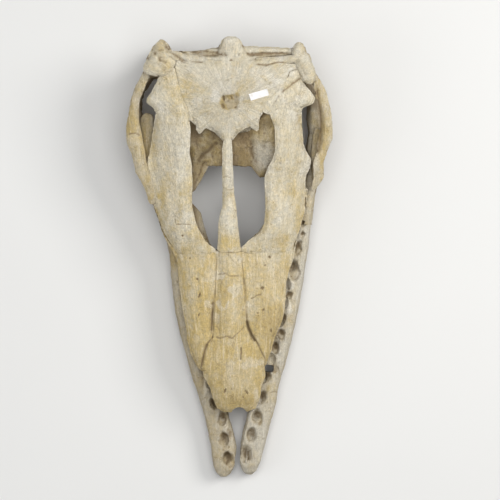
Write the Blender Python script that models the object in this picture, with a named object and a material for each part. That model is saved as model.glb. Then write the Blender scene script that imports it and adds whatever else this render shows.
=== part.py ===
"""Fossil mosasaur skull with its lower jaws, life size, lying on a flat surface.

The frame: +Z is up, the snout points along -Y, +X is the right of the picture, and the
origin is at the middle of the skull's footprint, on the surface that the jaws rest on.
Sizes below are in millimetres. Most bones are lofts: a row of rounded sections along one
axis, whose edges and heights are smooth profiles. Bones are listed from those that keep
their whole shape to those that are cut back by all the others.
"""

import bmesh
import bpy
import numpy as np
from mathutils import Matrix, Vector
from mathutils.bvhtree import BVHTree

MM = 0.001

# Driving sizes of the whole skull
JAW_TIP_LEFT = -401
JAW_TIP_RIGHT = -396
JAW_SPLIT = 66
JAW_REAR = 384
SNOUT_TIP = -281
SKULL_REAR = 394
BONE_GAP = 0.36
FLAT_SOLE = -1.5
SHORTEST_EDGE = 0.12

# Tooth sockets of each lower jaw
SOCKET_COUNT = 13
SOCKET_PITCH = 34.3
SOCKET_INSET = 0.36
SOCKET_LENGTH = 28
SOCKET_WIDTH = 19
SOCKET_DEPTH = 22
SOCKET_SIDES = 8

# The blank paper label that is stuck on the roof
LABEL_CENTRE = (52, 290)
LABEL_SIZE = (34, 12)
LABEL_TURN = 0.3
LABEL_LIFT = 0.5
LABEL_THICK = 0.6

CREAM = (0.74, 0.68, 0.53, 1.0)
OCHRE = (0.66, 0.55, 0.33, 1.0)
GREY = (0.66, 0.62, 0.53, 1.0)
PAPER = (0.86, 0.85, 0.84, 1.0)
BONE_ROUGHNESS = 0.82
PAPER_ROUGHNESS = 0.6

for old in list(bpy.data.objects):
    bpy.data.objects.remove(old)


def profile(*pairs):
    """A smooth curve through (station, value) pairs that never overshoots them."""
    x, y = (np.array(side, float) for side in zip(*sorted(pairs)))
    step = np.diff(x)
    rise = np.diff(y) / step
    slope = np.zeros(len(x))
    same = rise[:-1] * rise[1:] > 0
    harmonic = 2 * rise[:-1] * rise[1:] / np.where(same, rise[:-1] + rise[1:], 1)
    slope[1:-1] = np.where(same, harmonic, 0)
    slope[0], slope[-1] = rise[0], rise[-1]

    def at(s):
        s = min(max(s, x[0]), x[-1])
        i = min(int(np.searchsorted(x, s, "right")) - 1, len(step) - 1)
        t = (s - x[i]) / step[i]
        start = y[i] * (1 + 2 * t) * (1 - t) ** 2 + slope[i] * step[i] * t * (1 - t) ** 2
        end = y[i + 1] * t * t * (3 - 2 * t) + slope[i + 1] * step[i] * t * t * (t - 1)
        return start + end

    return at


def value(size, s):
    """A size at station s, whether it is a number or a profile."""
    return size(s) if callable(size) else size


def middle_of(top, sole):
    return lambda s: (value(top, s) + value(sole, s)) / 2


def depth_of(top, sole):
    return lambda s: value(top, s) - value(sole, s)


def beside(middle, offset):
    return lambda s: value(middle, s) + offset


def stations(start, end, blunt, rows):
    """Stations along a loft with the share of full size at each, rounded off at both ends."""
    found = []
    for angle in (0.3, 0.85):
        found.append((start + blunt[0] * (1 - np.cos(angle)), np.sin(angle)))
    for t in np.linspace(0, 1, rows):
        found.append((start + blunt[0] + t * (end - start - blunt[0] - blunt[1]), 1.0))
    for angle in (0.85, 0.3):
        found.append((end - blunt[1] * (1 - np.cos(angle)), np.sin(angle)))
    return found


# Which of X, Y and Z a loft's station, section width and section height lie along
ORDERS = {"Y": (1, 0, 2), "X": (0, 1, 2), "Z": (2, 0, 1)}


def loft(name, axis, ends, inner, outer, z_inner, z_outer, thick,
         crown=0.0, square=2.6, rows=9, ring=12, blunt=(16, 16)):
    """A closed bone along an axis. Each section is a rounded slab from its inner edge to its
    outer edge, whose middle line runs from z_inner to z_outer and is arched up by crown."""
    along, across, up = ORDERS[axis]
    turns = np.linspace(0, 2 * np.pi, ring, endpoint=False) + np.pi / ring
    cos, sin = np.cos(turns), np.sin(turns)
    wide = np.sign(cos) * np.abs(cos) ** (2 / square)
    tall = np.sign(sin) * np.abs(sin) ** (2 / square)
    mesh = bmesh.new()
    rings = []
    for s, share in stations(*ends, blunt, rows):
        near, far = value(inner, s), value(outer, s)
        low, high = value(z_inner, s), value(z_outer, s)
        point = np.zeros((ring, 3))
        point[:, along] = s
        point[:, across] = (near + far) / 2 + (far - near) / 2 * wide * share
        line = (low + high) / 2 + (high - low) / 2 * wide * share
        arch = value(crown, s) * (1 - (wide * share) ** 2)
        point[:, up] = line + arch + value(thick, s) / 2 * tall * share
        rings.append([mesh.verts.new(p * MM) for p in point])
    for one, two in zip(rings, rings[1:]):
        for k in range(ring):
            n = (k + 1) % ring
            mesh.faces.new((one[k], one[n], two[n], two[k]))
    mesh.faces.new(rings[0])
    mesh.faces.new(rings[-1])
    return finish(name, mesh)


def ball(name, centre, radii, segments=12):
    """An egg-shaped knob."""
    mesh = bmesh.new()
    size = Matrix.Diagonal((*(r * MM for r in radii), 1))
    place = Matrix.Translation(Vector(centre) * MM) @ size
    rings = segments // 2
    bmesh.ops.create_uvsphere(mesh, u_segments=segments, v_segments=rings, radius=1, matrix=place)
    return finish(name, mesh)


def cone(name, base, tip, base_radius, tip_radius, flat=1.0, sides=8):
    """A tapered peg from base to tip, whose section is squeezed by flat along its own X."""
    base, tip = Vector(base) * MM, Vector(tip) * MM
    line = tip - base
    turn = line.to_track_quat("Z", "Y").to_matrix().to_4x4()
    place = Matrix.Translation((base + tip) / 2) @ turn @ Matrix.Diagonal((flat, 1, 1, 1))
    mesh = bmesh.new()
    bmesh.ops.create_cone(
        mesh, cap_ends=True, segments=sides, radius1=base_radius * MM,
        radius2=tip_radius * MM, depth=line.length, matrix=place,
    )
    return finish(name, mesh)


def box(name, low, high):
    mesh = bmesh.new()
    size = Vector(high) - Vector(low)
    middle = (Vector(high) + Vector(low)) / 2
    place = Matrix.Translation(middle * MM) @ Matrix.Diagonal((*(size * MM), 1))
    bmesh.ops.create_cube(mesh, size=1, matrix=place)
    return finish(name, mesh)


def finish(name, mesh):
    """Turns a bmesh into a named object of triangles that face out."""
    bmesh.ops.triangulate(mesh, faces=mesh.faces)
    bmesh.ops.recalc_face_normals(mesh, faces=mesh.faces)
    data = bpy.data.meshes.new(name)
    mesh.to_mesh(data)
    mesh.free()
    obj = bpy.data.objects.new(name, data)
    bpy.context.scene.collection.objects.link(obj)
    return obj


def duplicate(obj):
    copy = obj.copy()
    copy.data = obj.data.copy()
    bpy.context.scene.collection.objects.link(copy)
    return copy


def grown(obj):
    """A copy of obj that is larger all round by the gap between bones."""
    copy = duplicate(obj)
    normals = [v.normal.copy() for v in copy.data.vertices]
    for vertex, normal in zip(copy.data.vertices, normals):
        vertex.co += normal * BONE_GAP * MM
    return copy


def combine(obj, operation, others):
    """Joins closed objects to obj, or cuts them out of it, and removes them."""
    group = bpy.data.collections.new("group")
    bpy.context.scene.collection.children.link(group)
    for other in others:
        group.objects.link(other)
    boolean = obj.modifiers.new("boolean", "BOOLEAN")
    boolean.operation = operation
    boolean.operand_type = "COLLECTION"
    boolean.collection = group
    boolean.solver = "EXACT"
    graph = bpy.context.evaluated_depsgraph_get()
    made = bpy.data.meshes.new_from_object(obj.evaluated_get(graph))
    obj.modifiers.clear()
    obj.data = made
    for other in others:
        bpy.data.objects.remove(other)
    bpy.data.collections.remove(group)
    return obj


def meet(one, two):
    """Whether the boxes around two objects overlap."""
    a, b = (np.array([v.co for v in o.data.vertices]) for o in (one, two))
    return bool((a.min(0) < b.max(0)).all() and (b.min(0) < a.max(0)).all())


def keep_largest(obj):
    """Drops every loose scrap that cutting has left, and keeps the largest closed body."""
    mesh = bmesh.new()
    mesh.from_mesh(obj.data)
    left = set(mesh.verts)
    bodies = []
    while left:
        body, front = set(), {next(iter(left))}
        while front:
            body |= front
            front = {e.other_vert(v) for v in front for e in v.link_edges} - body
        left -= body
        bodies.append(body)
    largest = max(bodies, key=len)
    loose = [v for body in bodies if body is not largest for v in body]
    bmesh.ops.delete(mesh, geom=loose, context="VERTS")
    bmesh.ops.dissolve_degenerate(mesh, dist=SHORTEST_EDGE * MM, edges=mesh.edges)
    bmesh.ops.triangulate(mesh, faces=mesh.faces)
    mesh.to_mesh(obj.data)
    mesh.free()


# Lower jaws

JAW_TOP = profile((-401, 30), (-380, 38), (-330, 44), (-220, 48), (-100, 52), (0, 58), (80, 66))
JAW_SOLE = profile((-401, 12), (-362, 1), (-335, FLAT_SOLE), (-90, FLAT_SOLE), (0, 2), (80, 5))


def tooth_sockets(seed, first, outer, inner):
    """Pegs that cut the row of tooth sockets into one lower jaw, uneven as real ones are."""
    random = np.random.RandomState(seed)
    pegs = []
    for i in range(SOCKET_COUNT):
        y = first + SOCKET_PITCH * (i + random.uniform(-0.06, 0.06))
        x = inner(y) + (SOCKET_INSET + random.uniform(-0.05, 0.05)) * (outer(y) - inner(y))
        size = random.uniform(0.86, 1.06)
        floor = (x, y, JAW_TOP(y) - SOCKET_DEPTH * size)
        mouth = (x, y, JAW_TOP(y) + 6)
        pegs.append(cone(f"socket_{i}", floor, mouth, SOCKET_LENGTH * 0.24 * size,
                         SOCKET_LENGTH * 0.54 * size, SOCKET_WIDTH / SOCKET_LENGTH, SOCKET_SIDES))
    return pegs


def dentary_left():
    """The front half of the left lower jaw, without teeth."""
    outer = profile((-401, -28), (-376, -31), (-332, -38), (-288, -47), (-250, -59),
                    (-183, -79), (-111, -97), (-42, -107), (18, -112), (80, -133))
    inner = profile((-401, 2), (-377, 8), (-350, 11), (-327, 8), (-300, 0), (-250, -12),
                    (-183, -31), (-111, -48), (-42, -58), (18, -64), (80, -86))
    middle = middle_of(JAW_TOP, JAW_SOLE)
    bone = loft("dentary_left", "Y", (JAW_TIP_LEFT, JAW_SPLIT + 12), inner, outer, middle, middle,
                depth_of(JAW_TOP, JAW_SOLE), square=2.9, rows=14, blunt=(22, 6))
    return combine(bone, "DIFFERENCE", tooth_sockets(4, -367, outer, inner))


def dentary_right():
    """The front half of the right lower jaw, with a break beside the snout."""
    outer = profile((-396, 50), (-368, 56), (-336, 65), (-305, 72), (-270, 82), (-234, 88),
                    (-189, 102), (-139, 114), (-69, 128), (-17, 137), (31, 144), (80, 149))
    inner = profile((-396, 18), (-359, 17), (-337, 20), (-310, 25), (-270, 34), (-234, 41),
                    (-189, 56), (-139, 68), (-69, 82), (-17, 91), (31, 98), (80, 104))
    middle = middle_of(JAW_TOP, JAW_SOLE)
    bone = loft("dentary_right", "Y", (JAW_TIP_RIGHT, JAW_SPLIT + 12), inner, outer, middle, middle,
                depth_of(JAW_TOP, JAW_SOLE), square=2.9, rows=14, blunt=(22, 6))
    broken = box("break", (40, -208, -20), (79, -195, 90))
    return combine(bone, "DIFFERENCE", [*tooth_sockets(9, -357, outer, inner), broken])


REAR_TOP = profile((50, 62), (110, 74), (160, 84), (210, 84), (270, 76), (330, 66), (384, 50))
REAR_SOLE = profile((50, 5), (120, 9), (200, 5), (265, FLAT_SOLE), (340, FLAT_SOLE), (384, 14))


def jaw_rear(side, inner, outer):
    """The toothless rear of one lower jaw, with the hinge end under the quadrate."""
    middle = middle_of(REAR_TOP, REAR_SOLE)
    return loft(f"jaw_rear_{side}", "Y", (JAW_SPLIT - 12, JAW_REAR), inner, outer, middle, middle,
                depth_of(REAR_TOP, REAR_SOLE), square=2.7, rows=14, blunt=(6, 16))


def jaw_rear_left():
    inner = profile((50, -88), (110, -108), (157, -138), (193, -154), (240, -158), (300, -150),
                    (322, -134), (345, -112), (384, -104))
    outer = profile((50, -124), (94, -138), (130, -150), (157, -166), (193, -176), (240, -179),
                    (290, -167), (335, -151), (360, -140), (384, -126))
    return jaw_rear("left", inner, outer)


def jaw_rear_right():
    inner = profile((50, 108), (130, 130), (165, 140), (197, 137), (230, 142), (266, 138),
                    (283, 144), (298, 142), (318, 124), (345, 110), (384, 106))
    outer = profile((50, 147), (94, 151), (130, 158), (190, 165), (240, 167), (300, 160),
                    (345, 143), (384, 127))
    return jaw_rear("right", inner, outer)


def coronoid_left():
    """The thin blade on top of the left jaw, seen between the cheek bar and the face."""
    inner = profile((132, -128), (200, -136), (260, -137))
    outer = profile((132, -158), (200, -163), (260, -161))
    return loft("coronoid_left", "Y", (132, 260), inner, outer, 92, 86, 26,
                square=3.0, rows=6, ring=10, blunt=(10, 10))


def coronoid_right():
    """The low crest on top of the right jaw."""
    inner = profile((128, 150), (180, 146), (236, 150))
    outer = profile((128, 163), (180, 164), (236, 166))
    return loft("coronoid_right", "Y", (128, 236), inner, outer, 88, 84, 26,
                square=2.4, rows=6, ring=10, blunt=(14, 14))


# Face

def premaxilla():
    """The single bone of the snout, between the two upper jaw bones."""
    left = profile((-281, -19), (-272, -24), (-256, -31), (-238, -36), (-220, -47), (-202, -51), (-184, -50),
                   (-157, -41), (-140, -32), (-85, -31), (-46, -29), (20, -24))
    right = profile((-281, 42), (-272, 47), (-256, 54), (-238, 55), (-220, 64), (-202, 63), (-184, 62),
                    (-157, 49), (-140, 38), (-116, 30), (-46, 28), (20, 20))
    top = profile((-281, 68), (-262, 84), (-220, 97), (-160, 104), (-85, 111), (20, 119))
    middle = middle_of(top, 46)
    bone = loft("premaxilla", "Y", (SNOUT_TIP, 20), left, right, middle, middle,
                depth_of(top, 46), crown=3, square=2.5, rows=16, ring=14, blunt=(8, 4))
    notch = cone("notch", (16, -285, 20), (16, -285, 140), 15, 15, sides=14)
    return combine(bone, "DIFFERENCE", [notch])


def internarial_bar():
    """The slim bar that runs back between the nostril openings."""
    left = profile((10, -24), (31, -22), (64, -20), (92, -14), (121, -13), (200, -13), (216, -9))
    right = profile((10, 20), (43, 16), (64, 13), (92, 11), (121, 7), (168, 5), (200, 4), (216, 1))
    height = profile((10, 108), (60, 115), (121, 130), (168, 142), (216, 152))
    return loft("internarial_bar", "Y", (10, 216), left, right, height, height,
                profile((10, 26), (92, 20), (216, 15)), crown=1.5, rows=11, ring=10, blunt=(4, 4))


FACE_INNER_Z = profile((-205, 78), (-100, 86), (0, 92), (130, 100))
FACE_OUTER_Z = profile((-205, 66), (-100, 70), (0, 74), (130, 80))
FACE_DEPTH = profile((-205, 34), (-160, 42), (-60, 46), (0, 48), (130, 40))


def maxilla_left():
    outer = profile((-206, -54), (-190, -61), (-163, -75), (-125, -80), (-85, -87), (-40, -93),
                    (-4, -97), (14, -106), (31, -117), (60, -126), (86, -135), (110, -145), (132, -152))
    inner = profile((-206, -40), (-157, -34), (10, -20), (22, -32), (31, -45), (60, -62),
                    (90, -80), (132, -112))
    return loft("maxilla_left", "Y", (-206, 132), inner, outer, FACE_INNER_Z, FACE_OUTER_Z,
                FACE_DEPTH, crown=3, square=2.5, rows=14, blunt=(8, 12))


def maxilla_right():
    inner = profile((-200, 50), (-184, 48), (-157, 40), (-85, 26), (10, 15), (21, 24), (30, 34),
                    (60, 62), (132, 104))
    outer = profile((-200, 63), (-195, 64), (-179, 73), (-160, 75), (-134, 85), (-109, 96),
                    (-85, 100), (-46, 101), (-26, 106), (-8, 114), (31, 120), (73, 132),
                    (100, 138), (132, 142))
    return loft("maxilla_right", "Y", (-200, 132), inner, outer, FACE_INNER_Z, FACE_OUTER_Z,
                FACE_DEPTH, crown=3, square=2.5, rows=14, blunt=(6, 12))


BROW_INNER_Z = profile((14, 104), (58, 114), (121, 126), (193, 140), (262, 150))
BROW_OUTER_Z = profile((14, 86), (58, 86), (121, 88), (160, 98), (193, 108), (262, 130))
BROW_DEPTH = profile((14, 26), (60, 36), (130, 34), (200, 24), (262, 22))


def prefrontal_left():
    """The long brow bone beside the left nostril opening."""
    inner = profile((14, -27), (31, -45), (58, -59), (95, -68), (121, -67), (157, -67),
                    (193, -72), (220, -70), (252, -73), (268, -76))
    outer = profile((14, -100), (40, -117), (86, -134), (110, -143), (130, -149), (157, -149),
                    (193, -144), (247, -135), (268, -130))
    return loft("prefrontal_left", "Y", (8, 268), inner, outer, BROW_INNER_Z, BROW_OUTER_Z,
                BROW_DEPTH, crown=5, square=2.7, rows=14, blunt=(6, 4))


def prefrontal_right():
    inner = profile((12, 19), (21, 19), (30, 32), (41, 52), (62, 61), (85, 63), (130, 61), (155, 62),
                    (163, 69), (180, 77), (193, 81), (231, 80), (250, 74), (268, 66))
    outer = profile((12, 112), (31, 119), (73, 131), (100, 136), (141, 136), (158, 143),
                    (170, 147), (181, 146), (192, 137), (211, 131), (250, 128), (268, 128))
    return loft("prefrontal_right", "Y", (10, 268), inner, outer, BROW_INNER_Z, BROW_OUTER_Z,
                BROW_DEPTH, crown=5, square=2.7, rows=18, blunt=(5, 4))


def palatine_left():
    """The shelf of the palate that shows inside the left nostril opening."""
    inner = profile((0, -28), (22, -35), (59, -47), (81, -53), (100, -70))
    return loft("palatine_left", "Y", (4, 106), inner, -104, 80, 76, 13,
                crown=2, rows=6, ring=10, blunt=(5, 8))


# Roof and rear of the skull

def skull_roof():
    """The broad shield over the brain, with the pineal pit and the ragged front edge."""
    left = profile((204, -12), (216, -16), (224, -28), (232, -46), (244, -64), (262, -78),
                   (284, -90), (302, -97), (322, -103), (340, -104), (350, -96))
    right = profile((204, 3), (216, 8), (224, 17), (232, 34), (240, 48), (262, 60), (282, 72),
                    (296, 88), (306, 104), (320, 119), (336, 122), (350, 112))
    height = profile((204, 134), (240, 142), (284, 150), (320, 154), (352, 155))
    shield = loft("skull_roof", "Y", (207, 352), left, right, height, height, 24,
                  crown=10, square=2.8, rows=12, ring=16, blunt=(4, 7))
    spur_left = cone("spur", (-44, 244, 152), (-55, 222, 144), 10, 2)
    spur_right = cone("spur", (42, 246, 153), (49, 226, 147), 12, 2.5)
    notch = cone("notch", (31, 221, 120), (31, 221, 190), 11, 11, sides=10)
    pit = cone("pit", (0, 276, 162), (0, 276, 190), 11, 18, sides=12)
    return combine(combine(shield, "UNION", [spur_left, spur_right]), "DIFFERENCE", [notch, pit])


def occiput():
    """The rear wall: central crest, cross bar, braincase and the ball of the neck joint."""
    left = profile((334, -52), (352, -38), (370, -22), (383, -15), (396, -11))
    right = profile((334, 60), (352, 46), (370, 31), (383, 20), (396, 14))
    crest = loft("occiput", "Y", (336, SKULL_REAR), left, right, 150, 150,
                 profile((336, 36), (360, 46), (394, 54)), crown=3, square=3.0, rows=6, blunt=(5, 5))
    bar = loft("bar", "X", (-118, 122), profile((-118, 356), (0, 354), (122, 356)),
               profile((-118, 366), (-60, 368), (0, 378), (60, 376), (122, 372)), 140, 140,
               profile((-118, 36), (0, 56), (122, 36)), rows=8, ring=10, blunt=(6, 6))
    case = loft("case", "Y", (222, 372), profile((222, -40), (300, -46), (372, -34)),
                profile((222, 44), (300, 50), (372, 38)), 122, 122,
                profile((222, 40), (300, 66), (372, 60)), square=2.8, rows=5)
    condyle = ball("condyle", (0, 372, 112), (22, 19, 17))
    shelf = loft("shelf", "X", (-112, 114), 334, 366, 124, 124, 20, square=3.0, rows=4, ring=10)
    return combine(crest, "UNION", [bar, shelf, case, condyle])


def braincase_wall():
    """The sloping vault under the roof that shows through the nostril openings."""
    front = profile((-78, 160), (-44, 164), (37, 164), (44, 154), (52, 142), (62, 146), (88, 144))
    front_z = profile((-78, 86), (-40, 88), (0, 92), (58, 88))
    return loft("braincase_wall", "X", (-80, 90), front, 264, front_z, 148, 15,
                crown=-7, square=2.8, rows=11, blunt=(4, 4))


def orbit_wall_left():
    """The inner wall of the left brow, which runs down and forward from the vault."""
    inner = profile((116, -67), (140, -52), (166, -36))
    return loft("orbit_wall_left", "Y", (116, 172), inner, -92, 88, 84, 14,
                rows=4, ring=10, blunt=(5, 3))


def squamosal_left():
    inner = profile((322, -108), (354, -96), (373, -106), (388, -117))
    outer = profile((322, -150), (337, -155), (354, -148), (373, -139), (388, -128))
    return loft("squamosal_left", "Y", (323, 388), inner, outer, 158, 154, 36,
                crown=2, square=2.4, rows=7, blunt=(10, 10))


def squamosal_right():
    inner = profile((306, 138), (316, 134), (340, 124), (364, 111), (384, 114))
    outer = profile((306, 148), (327, 154), (345, 147), (364, 137), (384, 132))
    return loft("squamosal_right", "Y", (308, 383), inner, outer, 156, 150, 36,
                crown=2, square=2.4, rows=7, blunt=(8, 8))


def supratemporal_left():
    """The thin splint along the left half of the roof's rear edge."""
    middle = profile((-122, 366), (-105, 364), (-75, 357), (-44, 349))
    return loft("supratemporal_left", "X", (-122, -42), beside(middle, -5), beside(middle, 5),
                162, 162, profile((-122, 22), (-42, 14)), rows=5, ring=8, blunt=(5, 5))


def supratemporal_right():
    """The thin splint along the right half of the roof's rear edge."""
    middle = profile((44, 349), (66, 350), (96, 352), (124, 354))
    return loft("supratemporal_right", "X", (44, 124), beside(middle, -5), beside(middle, 6),
                162, 162, profile((44, 14), (124, 22)), rows=5, ring=8, blunt=(5, 5))


BACK_INNER_Z = profile((256, 149), (300, 154), (334, 157))
BACK_OUTER_Z = profile((256, 129), (300, 142), (334, 149))


def postorbital_left():
    outer = profile((252, -133), (266, -134), (273, -147), (282, -151), (292, -141), (306, -135),
                    (315, -128), (340, -127))
    inner = profile((256, -72), (290, -84), (340, -99))
    return loft("postorbital_left", "Y", (256, 340), inner, outer, BACK_INNER_Z, BACK_OUTER_Z,
                23, crown=3, square=2.8, rows=10, blunt=(4, 4))


def postorbital_right():
    outer = profile((256, 128), (266, 128), (273, 145), (280, 153), (291, 149), (309, 133),
                    (320, 126), (334, 126))
    inner = profile((256, 57), (275, 65), (290, 78), (334, 105))
    return loft("postorbital_right", "Y", (256, 334), inner, outer, BACK_INNER_Z, BACK_OUTER_Z,
                23, crown=3, square=2.8, rows=10, blunt=(4, 4))


# Cheek bars and quadrates

def jugal_left():
    outer = profile((96, -146), (114, -150), (136, -159), (154, -170), (183, -175), (200, -184),
                    (222, -187), (237, -186), (263, -180), (294, -174), (320, -160), (338, -152))
    inner = profile((96, -130), (136, -138), (165, -150), (185, -152), (208, -156), (228, -160),
                    (262, -164), (284, -161), (306, -152), (321, -145), (338, -134))
    height = profile((96, 92), (136, 100), (183, 106), (237, 112), (294, 124), (338, 142))
    return loft("jugal_left", "Y", (96, 338), inner, outer, beside(height, 2), height,
                profile((96, 24), (222, 30), (338, 24)), rows=15, ring=10, blunt=(8, 6))


def jugal_right():
    inner = profile((120, 146), (150, 150), (168, 149), (183, 155), (208, 157), (230, 162),
                    (258, 162), (285, 156), (313, 147), (338, 132))
    outer = profile((120, 152), (132, 160), (148, 170), (165, 167), (192, 175), (219, 185),
                    (246, 182), (262, 180), (285, 175), (310, 166), (327, 154), (338, 148))
    height = profile((120, 90), (150, 98), (183, 104), (237, 112), (294, 124), (338, 142))
    return loft("jugal_right", "Y", (120, 338), inner, outer, beside(height, 2), height,
                profile((120, 24), (222, 30), (338, 24)), rows=15, ring=10, blunt=(8, 6))


def quadrate(side, near, far):
    """The tall, waisted bone that hangs from the skull's rear corner to the jaw hinge."""
    front = profile((60, 322), (80, 327), (110, 334), (138, 327), (152, 325))
    back = profile((60, 362), (80, 356), (110, 358), (138, 368), (152, 368))
    return loft(f"quadrate_{side}", "Z", (56, 150), near, far, middle_of(front, back),
                middle_of(front, back), depth_of(back, front), square=2.5, rows=6, blunt=(5, 4))


def specimen_label(roof):
    """A thin blank slip that follows the roof's surface just above it."""
    surface = BVHTree.FromPolygons([v.co for v in roof.data.vertices],
                                   [p.vertices[:] for p in roof.data.polygons])
    across, along = 9, 4
    cos, sin = np.cos(LABEL_TURN), np.sin(LABEL_TURN)
    mesh = bmesh.new()
    sheets = [[], []]
    for j in range(along):
        for i in range(across):
            a = (i / (across - 1) - 0.5) * LABEL_SIZE[0]
            b = (j / (along - 1) - 0.5) * LABEL_SIZE[1]
            x = LABEL_CENTRE[0] + a * cos - b * sin
            y = LABEL_CENTRE[1] + a * sin + b * cos
            hit = surface.ray_cast(Vector((x, y, 300)) * MM, Vector((0, 0, -1)))[0]
            for sheet, lift in zip(sheets, (LABEL_LIFT, LABEL_LIFT + LABEL_THICK)):
                sheet.append(mesh.verts.new(hit + Vector((0, 0, lift * MM))))
    for sheet in sheets:
        for j in range(along - 1):
            for i in range(across - 1):
                k = j * across + i
                corners = (k, k + 1, k + across + 1), (k, k + across + 1, k + across)
                for corner in corners:
                    mesh.faces.new([sheet[c] for c in corner])
    last = across * (along - 1)
    rim = [*range(across), *(across * (j + 1) - 1 for j in range(1, along)),
           *(last + i for i in reversed(range(across - 1))),
           *(across * j for j in reversed(range(1, along - 1)))]
    for a, b in zip(rim, rim[1:] + rim[:1]):
        mesh.faces.new((sheets[0][a], sheets[0][b], sheets[1][b], sheets[1][a]))
    return finish("specimen_label", mesh)


def paint(obj, colour, roughness):
    material = bpy.data.materials.new(obj.name)
    material.use_nodes = True
    shader = material.node_tree.nodes["Principled BSDF"]
    shader.inputs["Base Color"].default_value = colour
    shader.inputs["Roughness"].default_value = roughness
    obj.data.materials.clear()
    obj.data.materials.append(material)


def fit(bones):
    """Cuts each bone back by those before it in the list, and all of them off at the floor."""
    floor = box("floor", (-400, -500, -60), (400, 500, 0))
    spaces = [grown(bone) for bone in bones]
    for i, bone in enumerate(bones):
        for space in [*spaces[:i], floor]:
            if meet(bone, space):
                combine(bone, "DIFFERENCE", [duplicate(space)])
        keep_largest(bone)
    for space in [*spaces, floor]:
        bpy.data.objects.remove(space)


def centre(objects):
    """Moves all the objects together, so that the origin is at the middle of the footprint."""
    points = np.array([v.co for obj in objects for v in obj.data.vertices])
    middle = (points.min(0) + points.max(0)) / 2
    for obj in objects:
        obj.data.transform(Matrix.Translation((-middle[0], -middle[1], 0)))


def main():
    roof = skull_roof()
    colours = [
        (dentary_left(), CREAM), (dentary_right(), GREY),
        (jaw_rear_left(), CREAM), (jaw_rear_right(), CREAM),
        (coronoid_left(), GREY), (coronoid_right(), CREAM),
        (premaxilla(), OCHRE), (internarial_bar(), CREAM),
        (roof, CREAM), (occiput(), CREAM),
        (jugal_left(), CREAM), (jugal_right(), CREAM),
        (squamosal_left(), CREAM), (squamosal_right(), CREAM),
        (postorbital_left(), CREAM), (postorbital_right(), CREAM),
        (supratemporal_left(), CREAM), (supratemporal_right(), CREAM),
        (quadrate("left", -116, -150), CREAM), (quadrate("right", 112, 146), CREAM),
        (prefrontal_left(), GREY), (prefrontal_right(), GREY),
        (maxilla_left(), OCHRE), (maxilla_right(), OCHRE),
        (braincase_wall(), OCHRE), (orbit_wall_left(), OCHRE), (palatine_left(), GREY),
    ]
    fit([bone for bone, _ in colours])
    for bone, colour in colours:
        paint(bone, colour, BONE_ROUGHNESS)
    label = specimen_label(roof)
    paint(label, PAPER, PAPER_ROUGHNESS)
    centre([label, *(bone for bone, _ in colours)])


main()
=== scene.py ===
import math

import bmesh
import bpy
import numpy as np
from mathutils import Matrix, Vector
from mathutils.bvhtree import BVHTree


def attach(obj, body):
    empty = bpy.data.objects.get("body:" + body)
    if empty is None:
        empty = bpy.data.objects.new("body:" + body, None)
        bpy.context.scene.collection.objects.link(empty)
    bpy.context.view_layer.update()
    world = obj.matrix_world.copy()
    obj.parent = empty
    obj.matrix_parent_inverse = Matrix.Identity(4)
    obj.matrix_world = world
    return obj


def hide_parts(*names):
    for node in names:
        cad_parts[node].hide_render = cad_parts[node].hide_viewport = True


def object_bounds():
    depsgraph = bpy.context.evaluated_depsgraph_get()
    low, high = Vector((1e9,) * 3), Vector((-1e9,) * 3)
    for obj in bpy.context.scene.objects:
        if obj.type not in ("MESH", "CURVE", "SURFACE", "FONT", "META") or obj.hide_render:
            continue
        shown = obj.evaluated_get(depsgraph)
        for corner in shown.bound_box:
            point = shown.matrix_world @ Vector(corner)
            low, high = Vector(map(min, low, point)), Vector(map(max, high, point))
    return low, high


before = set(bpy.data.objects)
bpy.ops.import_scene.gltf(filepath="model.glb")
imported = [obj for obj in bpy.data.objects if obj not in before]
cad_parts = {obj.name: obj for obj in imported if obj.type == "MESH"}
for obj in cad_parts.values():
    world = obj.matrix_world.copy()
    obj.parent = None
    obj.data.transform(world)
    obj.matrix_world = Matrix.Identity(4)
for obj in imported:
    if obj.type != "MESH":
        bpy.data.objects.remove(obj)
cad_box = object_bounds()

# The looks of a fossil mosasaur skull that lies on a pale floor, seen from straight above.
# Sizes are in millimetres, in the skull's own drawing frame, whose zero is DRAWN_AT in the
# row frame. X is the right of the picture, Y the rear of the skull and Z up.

MM = 0.001
DRAWN_AT = np.array([1.0, 3.1, 0.0])

# The cell of the remeshed bones, and of the maps that look at them from above
VOXEL = 1.62
GRID = 2.0
MAP_MARGIN = 40

# How far a bone grows along X, Y and Z so that seams close, how far its free sides are worn
# back again, and how far it keeps inside the box of the CAD bones
SEAM_FILL = np.array([2.1, 2.1, 0.3])
EDGE_BACK = 1.2
BOX_GAP = 0.05

# Bones that meet: how wide a groove is closed, between which depths the closing fades out, how
# high a step is still evened and how often, how wide a seam is, and how far from it the tints
# blend
LEVEL_REACH = 7.0
LEVEL_MOST = (9.0, 14.0)
LEVEL_STEP = 9.0
LEVEL_ROUNDS = 5
SEAM_REACH = 3.0
BLEND_REACH = 12.0
BLEND_ROUNDS = 2

# A free border is where the height drops away by this much within this reach
BORDER_REACH = 5.0
BORDER_DROP = (5.0, 14.0)

# How many cells each way the mean height is taken over, and how often
MEAN_REACH = 3
MEAN_ROUNDS = 3

# The roof's fibres fan out from the pineal pit, whose clean round edge is softened first
ROOF_CENTRE = (0, 276)
ROOF_FAN = 120
PIT_REACH = 30
PIT_ROUNDS = 60

# How wide a socket may be to get filled, how deep it stays, and how much of its further depth
SOCKET_WIDE = 12.0
SOCKET_LEFT = 3.0
SOCKET_SLOPE = 0.2

JAWS = ("dentary_left", "dentary_right")
VAULT = ("braincase_wall", "orbit_wall_left")
NOT_LEVELLED = (*VAULT, "palatine_left", "quadrate_left", "quadrate_right", *JAWS,
                "jaw_rear_left", "jaw_rear_right", "coronoid_left", "coronoid_right")

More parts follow.
